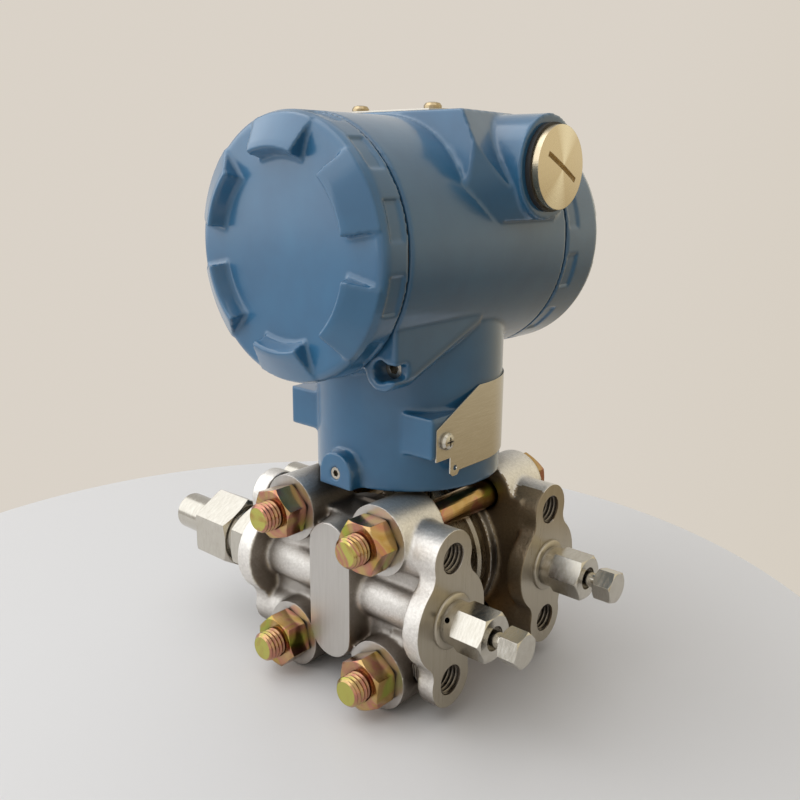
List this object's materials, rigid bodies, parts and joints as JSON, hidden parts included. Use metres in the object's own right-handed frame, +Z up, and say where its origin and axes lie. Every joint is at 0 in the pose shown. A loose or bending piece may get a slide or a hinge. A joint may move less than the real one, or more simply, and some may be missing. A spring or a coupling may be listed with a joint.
{
  "type": "differential pressure transmitter",
  "caption": "Process transmitter: a painted housing with screwed covers and threaded conduit entries, on a capsule sensor clamped between bolted flanges with vent valves and union connectors.",
  "frame": {"origin": "middle of the footprint, on the surface that the flange bosses stand on", "axes": "+Z up along the neck, Y along the housing barrel with the front cover at -Y, X along the ports with the vent valves at +X and the unions at -X"},
  "size_m": [0.1616, 0.1204, 0.1887],
  "materials": {
    "housing_paint": "satin-gloss blue enamel over die-cast aluminium",
    "seal_rubber": "matt black",
    "nickel_plate": "turned, warm nickel tone",
    "plate_steel": "fine brushed sheet",
    "screw_steel": "bright",
    "terminal_plastic": "moulded black",
    "terminal_metal": "bright",
    "board_laminate": "green solder resist",
    "machined_steel": "turned and milled, bright",
    "diaphragm_steel": "pressed foil, bright",
    "cast_steel": "bead-blasted casting with milled faces",
    "yellow_zinc": "yellow passivated zinc with a rainbow sheen",
    "gasket_white": "plain white fluoropolymer"
  },
  "bodies": {
    "sensor": {"sensor_neck": "machined_steel", "sensor_header": "machined_steel", "sensor_capsule": "machined_steel", "flange_bolts": "yellow_zinc", "flange_nuts": "yellow_zinc", "high_side_flange": "cast_steel", "high_side_diaphragm": "diaphragm_steel", "high_side_gasket": "gasket_white", "high_side_vent_body": "machined_steel", "high_side_connector": "machined_steel", "high_side_union_gasket": "gasket_white", "low_side_flange": "cast_steel", "low_side_diaphragm": "diaphragm_steel", "low_side_gasket": "gasket_white", "low_side_vent_body": "machined_steel", "low_side_connector": "machined_steel", "low_side_union_gasket": "gasket_white"},
    "housing": {"housing": "housing_paint", "conduit_plug": "nickel_plate", "conduit_plug_seal": "seal_rubber", "top_plate": "plate_steel", "top_plate_screws": "screw_steel", "tag_plate": "plate_steel", "tag_plate_screws": "screw_steel", "housing_lock_screw": "screw_steel", "cover_lock_screw": "screw_steel", "terminal_block": "terminal_plastic", "terminal_screws": "terminal_metal", "terminal_block_screws": "screw_steel", "power_board": "board_laminate", "signal_board": "board_laminate", "board_posts": "screw_steel", "board_screws": "screw_steel"},
    "front_cover_seal": {"front_cover_seal": "seal_rubber"},
    "front_cover": {"front_cover": "housing_paint"},
    "rear_cover_seal": {"rear_cover_seal": "seal_rubber"},
    "rear_cover": {"rear_cover": "housing_paint"},
    "high_side_nipple": {"high_side_nipple": "machined_steel"},
    "high_side_union_nut": {"high_side_union_nut": "machined_steel"},
    "high_side_vent_stem": {"high_side_vent_stem": "machined_steel"},
    "low_side_nipple": {"low_side_nipple": "machined_steel"},
    "low_side_union_nut": {"low_side_union_nut": "machined_steel"},
    "low_side_vent_stem": {"low_side_vent_stem": "machined_steel"}
  },
  "joints": [
    {"name": "housing_turn", "type": "hinge", "parent": "sensor", "child": "housing", "pos_m": [0.01175, 0, 0.0799], "axis": [0, 0, 1], "range_deg": [-180, 180]},
    {"name": "front_cover_travel", "type": "slide", "parent": "housing", "child": "front_cover_seal", "axis": [0, -1, 0], "range_m": [0, 0.0142]},
    {"name": "front_cover_turn", "type": "hinge", "parent": "front_cover_seal", "child": "front_cover", "pos_m": [0.01175, -0.05, 0.1465], "axis": [0, -1, 0], "range_deg": [0, 2520]},
    {"name": "rear_cover_travel", "type": "slide", "parent": "housing", "child": "rear_cover_seal", "axis": [0, 1, 0], "range_m": [0, 0.0142]},
    {"name": "rear_cover_turn", "type": "hinge", "parent": "rear_cover_seal", "child": "rear_cover", "pos_m": [0.01175, 0.045, 0.1465], "axis": [0, 1, 0], "range_deg": [0, 2520]},
    {"name": "high_side_nipple_travel", "type": "slide", "parent": "sensor", "child": "high_side_nipple", "axis": [-1, 0, 0], "range_m": [0, 0.0122]},
    {"name": "high_side_union_turn", "type": "hinge", "parent": "high_side_nipple", "child": "high_side_union_nut", "pos_m": [-0.05125, -0.027, 0.0349], "axis": [-1, 0, 0], "range_deg": [0, 2880]},
    {"name": "high_side_vent_turn", "type": "hinge", "parent": "sensor", "child": "high_side_vent_stem", "pos_m": [0.07175, -0.027, 0.0349], "axis": [1, 0, 0], "range_deg": [0, 720]},
    {"name": "low_side_nipple_travel", "type": "slide", "parent": "sensor", "child": "low_side_nipple", "axis": [-1, 0, 0], "range_m": [0, 0.0122]},
    {"name": "low_side_union_turn", "type": "hinge", "parent": "low_side_nipple", "child": "low_side_union_nut", "pos_m": [-0.05125, 0.027, 0.0349], "axis": [-1, 0, 0], "range_deg": [0, 2880]},
    {"name": "low_side_vent_turn", "type": "hinge", "parent": "sensor", "child": "low_side_vent_stem", "pos_m": [0.07175, 0.027, 0.0349], "axis": [1, 0, 0], "range_deg": [0, 720]}
  ],
  "couplings": [
    {"joint": "front_cover_travel", "follows": "front_cover_turn", "m_per_rad": 0.00031831},
    {"joint": "rear_cover_travel", "follows": "rear_cover_turn", "m_per_rad": 0.00031831},
    {"joint": "high_side_nipple_travel", "follows": "high_side_union_turn", "m_per_rad": 0.00023873},
    {"joint": "low_side_nipple_travel", "follows": "low_side_union_turn", "m_per_rad": 0.00023873}
  ]
}
